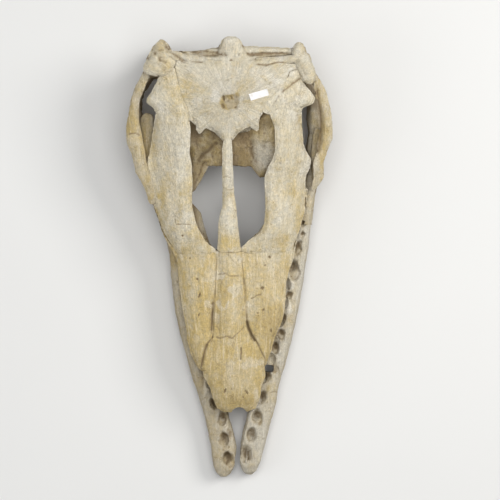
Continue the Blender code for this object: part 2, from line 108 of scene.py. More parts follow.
# Each bone's look: the point that its fibres fan out from, its share of ochre, its share of
# grey, how dark it is all over (stain, and on the bones deep inside and the left jaw also
# painted shade), how rough its surface is, and its material slot
FAR = (0, -2500)
BONES = {
    "skull_roof": (ROOF_CENTRE, 0.22, 0.30, 0.00, 0.8, "bone_cream"),
    "occiput": (ROOF_CENTRE, 0.18, 0.30, 0.00, 0.9, "bone_cream"),
    "postorbital_left": ((-60, -200), 0.30, 0.30, 0.00, 0.9, "bone_cream"),
    "postorbital_right": ((60, -200), 0.20, 0.40, 0.00, 0.9, "bone_cream"),
    "squamosal_left": (ROOF_CENTRE, 0.34, 0.20, 0.00, 1.0, "bone_cream"),
    "squamosal_right": (ROOF_CENTRE, 0.28, 0.25, 0.00, 1.0, "bone_cream"),
    "supratemporal_left": (ROOF_CENTRE, 0.40, 0.15, 0.10, 1.0, "bone_cream"),
    "supratemporal_right": (ROOF_CENTRE, 0.35, 0.15, 0.05, 1.0, "bone_cream"),
    "quadrate_left": (FAR, 0.66, 0.10, 0.20, 1.4, "bone_cream"),
    "quadrate_right": (FAR, 0.40, 0.15, 0.15, 1.0, "bone_cream"),
    "jugal_left": (FAR, 0.52, 0.20, 0.28, 1.2, "bone_cream"),
    "jugal_right": (FAR, 0.46, 0.28, 0.19, 1.2, "bone_cream"),
    "prefrontal_left": ((-30, -420), 0.32, 0.36, 0.00, 1.0, "bone_grey"),
    "prefrontal_right": ((70, -480), 0.32, 0.44, 0.00, 1.0, "bone_grey"),
    "maxilla_left": ((-10, -900), 0.78, 0.10, 0.00, 0.9, "bone_ochre"),
    "maxilla_right": ((60, -900), 0.66, 0.14, 0.00, 0.9, "bone_ochre"),
    "premaxilla": ((0, -1500), 0.74, 0.12, 0.00, 1.0, "bone_ochre"),
    "internarial_bar": (FAR, 0.26, 0.24, 0.00, 1.0, "bone_cream"),
    "dentary_left": ((-5, -900), 0.40, 0.24, 0.36, 0.9, "bone_cream"),
    "dentary_right": ((40, -900), 0.28, 0.50, 0.15, 0.9, "bone_grey"),
    "jaw_rear_left": ((-60, -900), 0.40, 0.20, 0.34, 0.9, "bone_cream"),
    "jaw_rear_right": ((80, -900), 0.34, 0.30, 0.26, 0.9, "bone_cream"),
    "coronoid_left": (FAR, 0.66, 0.08, 0.30, 1.5, "bone_grey"),
    "coronoid_right": (FAR, 0.46, 0.10, 0.40, 0.9, "bone_cream"),
    "braincase_wall": (FAR, 0.80, 0.10, 0.46, 2.2, "bone_ochre"),
    "orbit_wall_left": (FAR, 0.60, 0.10, 0.55, 1.3, "bone_ochre"),
    "palatine_left": (FAR, 0.30, 0.20, 0.50, 0.8, "bone_grey"),
}


# Noise and smooth steps on arrays of points

# Large odd numbers that scatter the bits of a cell's number, and the largest value kept of it
AXIS_PRIMES = (73856093, 19349663, 83492791)
SEED_PRIME = 7919
SCATTER = (2654435761, 2246822519)
LOW_BITS = 0xFFFF
NOISE_START = 5171.3


def lattice(cell, seed):
    """A repeatable random value in 0 to 1 for each whole-numbered cell."""
    x, y, z = (cell[..., i].astype(np.uint32) * np.uint32(AXIS_PRIMES[i]) for i in range(3))
    n = x ^ y ^ z
    n = (n ^ np.uint32(seed * SEED_PRIME + 1)) * np.uint32(SCATTER[0])
    n = (n ^ (n >> np.uint32(15))) * np.uint32(SCATTER[1])
    return ((n ^ (n >> np.uint32(13))) & np.uint32(LOW_BITS)).astype(float) / LOW_BITS


def noise(points, size, seed, octaves=3):
    """Smooth noise from -1 to 1, whose largest lumps are about size across."""
    total = np.zeros(len(points))
    weight = 0.0
    for octave in range(octaves):
        at = points / np.asarray(size) * 2 ** octave + NOISE_START
        cell = np.floor(at)
        t = at - cell
        t = t * t * (3 - 2 * t)
        cell = cell.astype(np.int64)
        share = 0.0
        for corner in range(8):
            step = np.array([corner & 1, corner >> 1 & 1, corner >> 2 & 1])
            side = np.where(step, t, 1 - t).prod(axis=1)
            share = share + side * lattice(cell + step, seed + octave)
        total += (share * 2 - 1) * 0.5 ** octave
        weight += 0.5 ** octave
    return total / weight


def relief(points, rows):
    """The sum of rows of noise, each with its size, seed, octaves and height."""
    return sum(noise(points, size, seed, octaves) * height for size, seed, octaves, height in rows)


def fade(value, low, high):
    """0 at low, 1 at high, and smooth between."""
    t = np.clip((value - low) / (high - low), 0, 1)
    return t * t * (3 - 2 * t)


def fan(points, focus):
    """Coordinates along and across the fibres, which fan out from the focus."""
    offset = points[:, :2] - focus
    far = np.hypot(*offset.T)
    usual = ROOF_FAN if focus == ROOF_CENTRE else np.hypot(*focus)
    turn = np.arctan2(offset[:, 1], offset[:, 0])
    return np.stack([far, turn * usual, points[:, 2]], axis=1)


# Surfaces

class Surface:
    """The points of one bone, in drawing millimetres, with its edges for smoothing."""

    def __init__(self, node):
        self.node = node
        self.focus, self.ochre, self.grey, self.stain, self.rough, self.slot = BONES[node]
        self.object = remeshed(node)
        self.mesh = self.object.data
        count = len(self.mesh.vertices)
        flat = np.empty(count * 3)
        self.mesh.vertices.foreach_get("co", flat)
        self.points = flat.reshape(-1, 3) / MM - DRAWN_AT
        ends = np.empty(len(self.mesh.edges) * 2, np.int64)
        self.mesh.edges.foreach_get("vertices", ends)
        ends = ends.reshape(-1, 2)
        self.one = np.concatenate([ends[:, 0], ends[:, 1]])
        self.two = np.concatenate([ends[:, 1], ends[:, 0]])
        self.degree = np.maximum(np.bincount(self.one, minlength=count), 1)
        self.dark = np.zeros(count)
        self.bleach = np.zeros(count)
        self.yellow = np.zeros(count)

    def around(self, values):
        """The mean of each point's neighbours."""
        if values.ndim == 1:
            return np.bincount(self.one, values[self.two], len(self.degree)) / self.degree
        return np.stack([self.around(v) for v in values.T], axis=1)

    def blurred(self, values, rounds, share=0.7):
        for _ in range(rounds):
            values = values + (self.around(values) - values) * share
        return values

    def smooth(self, rounds, share=0.5):
        for _ in range(rounds):
            self.points += (self.around(self.points) - self.points) * share

    def normals(self):
        self.store()
        flat = np.empty(len(self.points) * 3)
        self.mesh.vertices.foreach_get("normal", flat)
        return flat.reshape(-1, 3)

    def store(self):
        self.mesh.vertices.foreach_set("co", ((self.points + DRAWN_AT) * MM).ravel())
        self.mesh.update()

    def push(self, amount):
        """Moves each point out along its normal."""
        self.points += self.normals() * amount[:, None]

    def look_up(self):
        """Keeps which way each point faces, for the marks."""
        self.facing = self.normals()
        self.up = self.facing[:, 2]

    def sink(self, near, amount):
        """Moves the near points down, where the surface faces up."""
        self.points[near, 2] -= amount * fade(self.up[near], 0.05, 0.45)

    def paint(self, name, values):
        kind = "FLOAT" if values.ndim == 1 else "FLOAT_VECTOR"
        layer = self.mesh.attributes.new(name, kind, "POINT")
        layer.data.foreach_set("value" if kind == "FLOAT" else "vector",
                               values.astype(np.float32).ravel())


def remeshed(node):
    """A copy of a CAD bone as an even net of small faces, a little fuller than the CAD bone."""
    part = bmesh.new()
    part.from_mesh(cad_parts[node].data)
    bmesh.ops.remove_doubles(part, verts=part.verts, dist=1e-6)
    part.normal_update()
    for v in part.verts:
        v.co += Vector(np.array(v.normal) * SEAM_FILL * MM)
    data = bpy.data.meshes.new(node + "_surface")
    part.to_mesh(data)
    part.free()
    obj = bpy.data.objects.new(node + "_surface", data)
    bpy.context.scene.collection.objects.link(obj)
    remesh = obj.modifiers.new("remesh", "REMESH")
    remesh.mode = "VOXEL"
    remesh.voxel_size = VOXEL * MM
    graph = bpy.context.evaluated_depsgraph_get()
    obj.data = bpy.data.meshes.new_from_object(obj.evaluated_get(graph))
    obj.modifiers.clear()
    obj.data.name = obj.name
    obj.data.polygons.foreach_set("use_smooth", np.ones(len(obj.data.polygons), bool))
    return obj


# Marks. Each is cut from above into every bone that it reaches, on what faces up or sideways

FACES_UP = -0.05
CRACK_LUMPS = 11
CRACK_BREAKS = 16


def along(points, path):
    """Each point's distance in plan from a path, and how far along the path it is, 0 to 1."""
    best = np.full(len(points), 1e9)
    place = np.zeros(len(points))
    for i, (a, b) in enumerate(zip(path, path[1:])):
        line = b - a
        t = np.clip((points - a) @ line / (line @ line), 0, 1)
        far = np.hypot(*(points - a - t[:, None] * line).T)
        closer = far < best
        best[closer] = far[closer]
        place[closer] = (i + t[closer]) / (len(path) - 1)
    return best, place


def inside(surface, low, high, margin):
    """The points in a box in plan, or None where the bone has none there."""
    p = surface.points[:, :2]
    near = np.flatnonzero((p > np.array(low) - margin).all(1) & (p < np.array(high) + margin).all(1))
    return near if len(near) else None


class Crack:
    """A narrow, wandering crack along a path of (x, y) points. A negative depth is a ridge."""

    def __init__(self, path, width=1.5, depth=2.0, wander=1.6, dark=0.8, steady=0.0, bleach=0.0,
                 only=None):
        self.path = np.asarray(path, float)
        self.width, self.depth, self.wander, self.dark = width, depth, wander, dark
        self.steady, self.bleach, self.only = steady, bleach, only

    def cut(self, surface):
        near = inside(surface, self.path.min(0), self.path.max(0), 3 * self.width + 4)
        if near is None or self.only and surface.node not in self.only:
            return
        flat = surface.points[near] * (1, 1, 0)
        shift = np.stack([noise(flat, CRACK_LUMPS, seed, 3) for seed in (5, 6)], axis=1)
        far, place = along(flat[:, :2] + shift * self.wander, self.path)
        share = np.clip(noise(flat, CRACK_BREAKS, 8, 2) * 1.8 + 0.35, 0, 1)
        share = self.steady + (1 - self.steady) * share
        tips = fade(np.minimum(place, 1 - place), -0.01, 0.1)
        cut = np.exp(-(far / self.width) ** 2) * tips * (0.25 + 0.75 * share)
        upper = surface.up[near] > FACES_UP
        surface.dark[near] += cut * self.dark * upper
        surface.bleach[near] += cut * self.bleach * upper
        surface.sink(near, cut * self.depth)


class Hollow:
    """An oval sunk from above. half is its half width and half length, turn is in degrees."""

    def __init__(self, centre, half, depth=0.0, turn=0.0, soft=0.35, ragged=0.2, dark=0.0,
                 yellow=0.0, bleach=0.0, only=None, power=2.0):
        self.centre, self.half, self.depth, self.turn = centre, half, depth, turn
        self.soft, self.ragged, self.only, self.power = soft, ragged, only, power
        self.dark, self.yellow, self.bleach = dark, yellow, bleach

    def cut(self, surface):
        near = inside(surface, self.centre, self.centre, max(self.half) * (1.2 + self.soft))
        if near is None or self.only and surface.node not in self.only:
            return
        p = surface.points[near]
        a = math.radians(self.turn)
        dx, dy = (p[:, :2] - self.centre).T
        u = (dx * math.cos(a) + dy * math.sin(a)) / self.half[0]
        v = (-dx * math.sin(a) + dy * math.cos(a)) / self.half[1]
        lumps = noise(p * (1, 1, 0), min(self.half) * 1.3, int(abs(self.centre[0]) * 3) % 97, 3)
        out = (np.abs(u) ** self.power + np.abs(v) ** self.power) ** (1 / self.power)
        share = 1 - fade(out * (1 + self.ragged * lumps), 1 - self.soft, 1 + self.soft)
        upper = surface.up[near] > FACES_UP
        surface.dark[near] += share * self.dark * upper
        surface.yellow[near] += share * self.yellow * upper
        surface.bleach[near] += share * self.bleach * upper
        if self.depth:
            surface.sink(near, share * self.depth)


class Spread:
    """Moves the side of one bone that faces the shift, to close a gap or shape an edge, or
    the side that faces away from it, to widen a gap."""

    def __init__(self, node, centre, half, shift, side=1):
        self.node, self.centre, self.half = node, centre, half
        self.shift, self.side = np.array(shift, float), side

    def cut(self, surface):
        if surface.node != self.node:
            return
        out = np.hypot(*((surface.points[:, :2] - self.centre) / self.half).T)
        facing = surface.facing[:, :2] @ (self.shift / np.hypot(*self.shift)) * self.side
        share = (1 - fade(out, 0.5, 1.0)) * fade(facing, -0.1, 0.6)
        surface.points[:, :2] += self.shift * share[:, None]


def patch(centre, half, turn=0.0, **tint):
    """A soft, uneven area of another tint, with no change of shape."""
    return Hollow(centre, half, 0.0, turn, soft=0.75, ragged=0.55, **tint)


RIM_WIDTH = 2.5
RIM_HEIGHT = 0.5


def socket(centre, half, turn=0.0, depth=7.5, dark=0.22):
    """A tooth socket: a brown, darkened floor that is partly stain and partly painted shade, painted
    shade that is darkest towards the rear and lighter on the lump at its front, and a pale worn rim.
    """
    rim = half[0] + RIM_WIDTH, half[1] + RIM_WIDTH
    back = centre[0], centre[1] + half[1] * 0.35
    front = centre[0], centre[1] - half[1] * 0.5
    return [Hollow(centre, rim, -RIM_HEIGHT, turn, 0.35, 0.4, bleach=0.2, only=JAWS),
            Hollow(centre, half, depth, turn, 0.30, 0.5, dark=dark, yellow=0.3, only=JAWS),
            Hollow(front, (half[0] * 0.7, half[1] * 0.4), -2.5, turn, 0.6, 0.5, dark=-0.12, only=JAWS),
            Hollow(back, (half[0] * 0.55, half[1] * 0.5), 3.0, turn, 0.6, 0.6, dark=0.22, only=JAWS)]


MARKS = [
    # The seams on either side of the premaxilla
    Crack([(22, -24), (28, -57), (30, -86), (30, -116), (38, -140), (48, -152), (63, -183),
           (62, -206)], 1.7, 3.2, 1.2, 0.75, 0.3),
    Crack([(30, -112), (34, -128), (40, -141), (46, -152)], 2.6, 4.5, 0.8, 0.9, 0.8),
    Crack([(-27, -49), (-30, -77), (-32, -107), (-33, -130), (-31, -141), (-40, -154), (-46, -167),
           (-50, -185), (-52, -199), (-48, -216)], 1.8, 3.0, 1.2, 0.6, 0.4),
    Crack([(-31, -78), (-33, -107), (-34, -134)], 4.2, 3.0, 0.8, 0.35, 0.9),
    Crack([(-41, -154), (-48, -176), (-52, -199)], 3.6, 2.5, 0.8, 0.35, 0.8),
    Crack([(22, -18), (20, 2), (21, 12)], 1.3, 1.2, 1.0, 0.35, 0.3),
    Crack([(-24, 10), (-26, -20), (-27, -49)], 1.3, 1.2, 1.0, 0.3, 0.2),
    # Breaks across the premaxilla
    Crack([(-22, 10), (-9, 10), (4, 8), (19, 13)], 1.3, 1.6, 2.0, 0.5, 0.5),
    Crack([(-8, 8), (4, -4), (14, -12), (20, -14)], 1.1, 1.1, 2.0, 0.35, 0.3),
    Crack([(-23, -31), (-7, -29), (0, -33), (20, -33)], 1.2, 1.5, 1.6, 0.5, 0.5),
    Crack([(-18, -30), (-14, -40), (-17, -50)], 1.0, 0.9, 1.6, 0.3, 0.3),
    Crack([(-27, -142), (-19, -145), (-7, -142), (4, -145), (16, -134), (28, -122)], 1.3, 1.6, 2.0,
          0.5, 0.5),
    Crack([(20, -160), (20, -172), (19, -185)], 1.3, 2.2, 0.8, 0.75, 0.8),
    Crack([(6, -150), (4, -160), (10, -168)], 1.1, 1.0, 1.6, 0.3, 0.4),
    # Maxillae and brows
    Crack([(37, -74), (43, -72), (50, -68), (58, -66)], 1.1, 1.4, 1.4, 0.55, 0.6),
    Crack([(72, -66), (80, -80), (82, -96)], 1.0, 1.0, 1.4, 0.3, 0.3),
    Crack([(-98, 59), (-82, 60), (-67, 58)], 1.1, 1.3, 1.0, 0.4, 0.7),
    Crack([(-98, 78), (-98, 62)], 1.0, 1.0, 1.0, 0.3, 0.6),
    # Roof
    # Painted shade along the lower side of the ridge at the rear right corner
    Crack([(124, 336), (127, 322), (116, 313), (90, 292)], 2.8, 2.6, 2.2, 0.32, 0.7),
    Crack([(88, 290), (80, 276), (72, 266)], 1.4, 1.0, 1.4, 0.25, 0.3),
    Crack([(-97, 334), (-92, 300), (-84, 280), (-79, 262)], 2.2, 1.1, 1.6, 0.14, 0.5),
    Crack([(44, 344), (66, 342), (87, 348), (98, 346)], 1.4, 2.4, 1.2, 0.85, 0.7),
    Crack([(-108, 366), (-88, 356), (-67, 348), (-44, 347)], 1.8, 2.4, 0.8, 0.5, 0.8),
    Crack([(-112, 360), (-92, 350), (-70, 344)], 1.2, 1.2, 1.4, 0.3, 0.4),
    Hollow((2, 351), (3.2, 1.8), 2.0, 0, dark=0.7),
    Hollow((-1, 276), (15, 13), 2.2, 4, soft=0.16, ragged=0.35, yellow=1.3, dark=0.22, power=5.0),
    Hollow((5, 279), (8, 8), 0.5, 10, soft=0.5, ragged=0.6, yellow=0.3, dark=0.1, power=4.0),
    Hollow((-11, 284), (1.8, 5.0), 3.2, 12, dark=0.95),
    Hollow((-12, 270), (2.4, 4.6), 1.4, 30, dark=0.35),
    Hollow((3, 285), (1.4, 3.4), 1.2, 20, dark=0.3),
    Hollow((12, 267), (3.4, 2.6), 1.4, 0, dark=0.28),
    Hollow((-25, 285), (7.5, 9.5), 0.3, 10, soft=0.7, bleach=0.9),
    Hollow((2, 300), (12, 6), 0.2, 0, soft=0.8, bleach=0.5),
    # The bar between the nostrils
    Crack([(-13, 144), (-5, 145), (2, 142)], 1.2, 1.4, 1.0, 0.5, 0.6),
    Crack([(-9, 122), (0, 121), (7, 122)], 1.1, 1.3, 1.0, 0.5, 0.7),
    Hollow((0, 112), (6, 5), 1.0, 0, soft=0.6, ragged=0.7, dark=0.1, yellow=0.35),
    # Cheeks
    Crack([(-183, 221), (-170, 223), (-160, 219)], 1.3, 1.5, 1.4, 0.35, 0.6),
    patch((-176, 265), (5, 9), 0, yellow=0.5),
    patch((-178, 232), (8, 10), 10, yellow=0.55, dark=0.08),
    patch((-170, 246), (6, 10), 20, yellow=0.4),
    # The vault under the roof, whose recesses are darkened with painted shade
    Crack([(-49, 208), (-56, 192), (-64, 170), (-68, 150)], 6.0, -4.0, 2.5, 0.0, 1.0, 0.15, VAULT),
    Crack([(-21, 208), (-36, 195), (-50, 182), (-58, 172)], 3.4, 4.5, 2.5, 0.6, 0.6, only=VAULT),
    Crack([(-30, 214), (-34, 196), (-30, 176)], 3.0, 1.6, 3.0, 0.2, 0.5, only=VAULT),
    Crack([(-46, 176), (-56, 150), (-64, 128)], 2.6, 2.0, 2.5, 0.3, 0.5, only=VAULT),
    Crack([(36, 212), (38, 190), (48, 170)], 3.2, 2.6, 2.5, 0.35, 0.6, only=VAULT),
    # Painted shade in the recesses of the vault and under its arch
    Hollow((-61, 228), (10, 22), 3.0, 0, 0.6, dark=0.65, only=VAULT),
    Hollow((62, 238), (14, 16), 4.0, 0, 0.6, dark=0.3, only=VAULT),
    Hollow((22, 220), (14, 12), 3.0, 0, 0.6, dark=0.55, only=VAULT),
    Hollow((-24, 222), (12, 10), 2.0, 0, 0.6, dark=0.3, only=VAULT),
    # Painted light: a pale grey patch where the vault's right wall faces the light
    Hollow((60, 184), (19, 26), 0, 20, 0.6, 0.5, bleach=1.0, dark=-0.35, yellow=-0.6, only=VAULT),
    Hollow((68, 222), (12, 22), -1.5, 10, 0.6, 0.5, bleach=0.4, dark=-0.15, only=VAULT),
    Hollow((54, 258), (14, 8), 5.0, 20, 0.5, 0.5, dark=0.6, only=VAULT),
    patch((0, 376), (22, 20), 0, bleach=0.35),
    patch((0, 170), (7, 50), 0, bleach=0.4),
    # Painted shade: a darker area on the right of the vault
    patch((24, 188), (20, 44), 0, yellow=0.4, dark=0.34, only=VAULT),
    # Gaps closed and edges shaped
    Spread("supratemporal_left", (-86, 358), (34, 12), (0, -6)),
    Spread("skull_roof", (-86, 350), (24, 14), (0, 5)),
    Spread("skull_roof", (-60, 242), (18, 20), (-5, -3)),
    Spread("skull_roof", (40, 236), (12, 14), (-4, 0)),
    Spread("occiput", (0, 354), (60, 12), (0, -3)),
    Spread("jaw_rear_left", (-146, 306), (30, 60), (-10, 0), -1),
    Spread("squamosal_right", (128, 330), (18, 32), (-5, 0)),
    Spread("maxilla_left", (-66, 8), (56, 16), (0, 4)),
    Spread("maxilla_left", (-24, 8), (12, 12), (3, 0)),
    Spread("prefrontal_left", (-66, 12), (56, 16), (0, -3)),
    Spread("prefrontal_left", (-28, 14), (12, 12), (3, 0)),
    Spread("maxilla_right", (62, 8), (56, 16), (0, 4)),
    Spread("maxilla_right", (24, 4), (10, 12), (-2, 0)),
    Spread("prefrontal_right", (62, 12), (56, 16), (0, -3)),
    Spread("prefrontal_right", (24, 14), (10, 12), (-2, 0)),
    Spread("premaxilla", (-20, 6), (10, 14), (-2, 0)),
    Spread("premaxilla", (20, 4), (10, 14), (2, 0)),
    Spread("internarial_bar", (0, 12), (26, 10), (0, -3)),
    # Troughs behind the roof, darkened with painted shade
    Hollow((-40, 363), (30, 5.5), 6.0, -3, 0.5, 0.3, dark=0.5, only=("occiput",)),
    Hollow((77, 361.5), (44, 4.5), 6.0, 0, 0.4, 0.3, dark=0.55, only=("occiput",)),
    Crack([(-24, 384), (-20, 372), (-24, 362)], 2.6, 2.0, 1.0, 0.35, 0.9, only=("occiput",)),
    Crack([(22, 380), (27, 368), (34, 361)], 2.6, 2.0, 1.0, 0.3, 0.9, only=("occiput",)),
    # Rear corners and cheeks
    Hollow((-110, 371), (5, 7), 3.0, 20, 0.5, 0.4, dark=0.3),
    Hollow((-112, 340), (8, 14), 2.5, 20, 0.6, 0.5, yellow=0.3, dark=0.15),
    Hollow((-134, 382), (8, 10), -1.5, 0, 0.6, 0.5, bleach=0.3),
    Crack([(-150, 352), (-138, 362), (-124, 368), (-112, 376)], 4.0, 2.6, 3.0, 0.22, 0.7),
    Crack([(-118, 392), (-116, 380), (-108, 368)], 3.0, 2.4, 2.0, 0.25, 0.8),
    Hollow((136, 372), (9, 8), 2.0, 0, 0.5, 0.5, yellow=0.3, dark=0.1),
    # The grooves on the rear corners are darkened, partly as painted shade
    Crack([(-122, 359), (-126, 344), (-115, 331)], 4.0, 2.6, 1.5, 0.2, 0.8),
    Crack([(-140, 372), (-124, 352), (-112, 346)], 3.0, 1.8, 1.5, 0.15, 0.8),
    Crack([(116, 352), (128, 340), (136, 322)], 3.6, 1.8, 2.5, 0.25, 0.5),
    # The right cheek's trough is darkened, partly as painted shade on its inner wall
    Crack([(154, 309), (158, 271), (163, 238), (161, 208), (155, 183)], 5.0, 4.0, 2.0, 0.55, 1.0,
          only=("jugal_right",)),
    Crack([(-161, 268), (-157, 233), (-147, 195), (-149, 170)], 2.6, 3.0, 1.0, 0.6, 0.9,
          only=("jugal_left",)),
    patch((160, 250), (10, 75), 4, yellow=0.7, dark=0.06, only=("jugal_right",)),
    patch((-152, 215), (8, 60), 4, yellow=0.4, dark=0.1, only=("jugal_left",)),
    # Areas of other tint on the face and snout
    patch((-88, 60), (16, 24), -15, bleach=0.35),
    patch((-100, 130), (14, 50), -12, bleach=0.25),
    patch((-128, 100), (9, 60), -24, yellow=0.30),
    patch((-72, 160), (6, 60), 4, yellow=0.22),
    patch((-105, 10), (8, 50), -10, yellow=0.3),
    patch((-46, -105), (11, 60), -6, yellow=0.35),
    patch((90, 85), (18, 40), 8, bleach=0.35),
    patch((124, 70), (9, 60), 10, yellow=0.3),
    patch((74, -20), (24, 34), 0, bleach=0.30),
    patch((100, 0), (8, 40), 4, yellow=0.35),
    patch((75, -120), (22, 42), 0, yellow=0.5, dark=0.24),
    patch((2, 70), (14, 32), 0, bleach=0.30),
    patch((0, 25), (16, 14), 0, yellow=0.4),
    patch((0, -6), (20, 13), 0, bleach=0.35),
    patch((2, -95), (12, 44), 0, bleach=0.2),
    patch((18, -212), (24, 30), 0, bleach=0.3),
    patch((10, -262), (34, 14), 0, yellow=0.25, dark=0.1),
    patch((50, -258), (5, 14), 15, bleach=0.5),
    patch((-70, 300), (24, 18), 0, yellow=0.3),
    patch((-38, 268), (24, 14), 20, yellow=0.25),
    patch((0, 322), (36, 12), 0, bleach=0.2),
    patch((96, 325), (24, 12), 0, bleach=0.25),
    patch((104, 285), (22, 14), 0, bleach=0.35),
    # Tooth sockets
    *socket((27, -361), (8.5, 16), 4),
    *socket((39, -323), (9, 14), 2),
    *socket((50, -290), (9.5, 12), -10),
    *socket((60, -254), (5.5, 11), 0, 6.0, 0.25),
    *socket((69, -217), (5, 9), 0, 6.0, 0.3),
    *socket((82, -165), (6, 10), 8, 9.0),
    *socket((93, -139), (7, 10), 0, 7.0),
    *socket((98, -111), (3, 8), 0, 7.0),
    *socket((107, -69), (6, 7), 0, 7.0),
    *socket((117, -24), (9, 17), 4, 7.0),
    *socket((123, 17), (6, 14), -8, 7.0),
    *socket((131, 41), (4, 6), 0, 6.0),
    *socket((133, 61), (4, 8), -8, 6.0),
    Hollow((111, -51), (5, 8), -2.5, 20, 0.5, 0.5, bleach=0.7, dark=-0.2, only=JAWS),
    Hollow((105, -90), (6, 12), -2.0, 8, 0.5, 0.5, bleach=0.7, dark=-0.2, only=JAWS),
    Hollow((81, -203), (6, 8), 3.0, 0, 0.5, 0.6, yellow=0.4, dark=0.4, only=JAWS),
    Crack([(88, -186), (86, -200), (90, -214)], 1.6, 1.4, 3.0, 0.4, 0.6, only=JAWS),
    *socket((-3, -368), (8.5, 17), 16),
    *socket((-10, -331), (8, 13), 4),
    *socket((-14, -292), (8.5, 12), 0),
    *socket((-30, -267), (6, 11), 25),
    Hollow((0, -320), (3.0, 5), 3.0, 10, soft=0.6, ragged=0.7, dark=0.5),
    Crack([(31, -349), (30, -362), (28, -374)], 1.4, -6.0, 0.6, 0.0, 1.0, 0.6, JAWS),
    Crack([(70, -247), (80, -244), (88, -246), (92, -250)], 1.2, 1.2, 2.0, 0.5, 0.6),
    Hollow((-42, -232), (6, 18), -5.0, -10, 0.6, 0.4, bleach=0.3, dark=-0.3, only=JAWS),
    Hollow((-18, -290), (4, 7), -2.0, 10, 0.6, 0.6, bleach=0.5, only=JAWS),
    Crack([(-4, -310), (-6, -322), (3, -332)], 1.5, 2.0, 2.0, 0.4, 0.7, only=JAWS),
    Crack([(-3, -352), (-4, -366), (-7, -380)], 2.0, 2.0, 2.0, 0.4, 0.8, only=JAWS),
    # Small vessel holes
    Hollow((71, 1), (1.9, 2.6), 3.0, 20, dark=1.0),
    Hollow((63, -14), (1.6, 1.6), 2.0, 0, dark=0.7),
    Hollow((58, -55), (3.2, 2.4), 3.5, 10, dark=1.0),
    Hollow((60, -94), (1.8, 1.8), 2.2, 0, dark=0.7),
    Hollow((50, -100), (1.5, 1.5), 2.0, 0, dark=0.6),
    Hollow((74, -132), (1.8, 3.0), 2.4, 10, dark=0.7),
    Hollow((-85, 39), (1.7, 1.7), 2.2, 0, dark=0.7),
    Hollow((-72, -1), (1.6, 1.6), 2.0, 0, dark=0.6),
    Hollow((-59, -39), (1.9, 1.9), 2.4, 0, dark=0.8),
    Hollow((-55, -68), (1.7, 4.8), 2.6, -20, dark=0.8),
    Hollow((-56, -103), (1.5, 3.0), 1.8, -20, dark=0.5),
    Hollow((-9, -240), (1.7, 4.6), 2.8, -20, dark=0.9),
    Hollow((3, -237), (1.2, 1.6), 1.6, 0, dark=0.6),
    Hollow((30, -243), (1.7, 4.0), 2.6, 35, dark=0.8),
    Hollow((24, -252), (1.6, 1.8), 2.2, 0, dark=0.7),
    patch((-6, -197), (11, 6), 0, yellow=0.6, dark=0.08),
    patch((-9, -215), (5, 11), 8, yellow=0.5),
]


# The relief of a bone as rows of noise: size, seed, octaves and height. The ridges run along
# the fibres
LUMPS = ((46, 11, 2, 1.2), (17, 21, 2, 0.9), (8, 25, 2, 0.3))
RIDGES = (((26, 3.6, 7), 31, 3, 0.45), ((60, 11, 20), 41, 2, 0.7))
GRIT = ((3.6, 51, 2, 0.3),)
FLAKE_SIZE = (19, 26, 19)
FLAKE_EDGE = (0.20, 0.27)
FLAKE_DEPTH = 0.55
CHIP_DEPTH = 4.2
RELIEF_SHARE = 0.9
WORN_ALL_OVER = 0.2


def weather(surface, borders):
    """Gives a bone lumps, fibres, flakes and pits, and ragged sides where it stands free."""
    p = surface.points.copy()
    shape = relief(p, LUMPS) + relief(fan(p, surface.focus), RIDGES) + relief(p, GRIT)
    surface.flakes = fade(noise(p, FLAKE_SIZE, 45, 4), *FLAKE_EDGE)
    surface.free = look(borders, p)
    side = 1 - fade(np.abs(surface.normals()[:, 2]), 0.25, 0.7)
    chips = np.minimum(noise(p, 10, 55, 3) + 0.1, 0) * CHIP_DEPTH + noise(p, 26, 57, 2) * 1.2
    surface.push((shape - surface.flakes * FLAKE_DEPTH) * surface.rough * RELIEF_SHARE
                 + (chips - EDGE_BACK) * side * surface.free - WORN_ALL_OVER)


def window(grid, reach, pick):
    """The pick, such as the highest, of each cell's square of neighbours."""
    for axis in (0, 1):
        grid = pick([np.roll(grid, k, axis) for k in range(-reach, reach + 1)])
    return grid


def closed(grid, reach):
    """The grid with the grooves filled that are narrower than twice the reach."""
    return window(window(grid, reach, np.maximum.reduce), reach, np.minimum.reduce)


def spread(grid, reach, axis):
    """The sum of each cell's neighbours within the reach, to either side along the axis."""
    return sum(np.roll(grid, k, axis) for k in range(-reach, reach + 1))


def squares(points, low):
    """The map square under each point, as an index along X and one along Y."""
    cell = np.floor((points[:, :2] - low) / GRID).astype(int)
    return cell[:, 0], cell[:, 1]


def soften_pit(surface):
    """Turns the clean round pit of the roof into a shallow dip, for the marks to shape."""
    far = np.hypot(*(surface.points[:, :2] - ROOF_CENTRE).T)
    share = 1 - fade(far, PIT_REACH * 0.7, PIT_REACH)
    for _ in range(PIT_ROUNDS):
        surface.points[:, 2] += (surface.around(surface.points[:, 2]) - surface.points[:, 2]) * share


def fill_sockets(surface):
    """Raises the floors of a jaw's deep tooth sockets, which are packed with sediment."""
    low, top, _ = height_map([surface])
    reach = round(SOCKET_WIDE / GRID)
    rim = look((low, window(closed(top, reach), 1, np.minimum.reduce)), surface.points)
    down = rim - surface.points[:, 2]
    kept = np.minimum(down, SOCKET_LEFT + (down - SOCKET_LEFT) * SOCKET_SLOPE)
    upper = fade(surface.normals()[:, 2], -0.08, 0.1) * (rim > 0) * (down > SOCKET_LEFT)
    surface.points[:, 2] += (down - kept) * upper
    surface.smooth(2, 0.5)


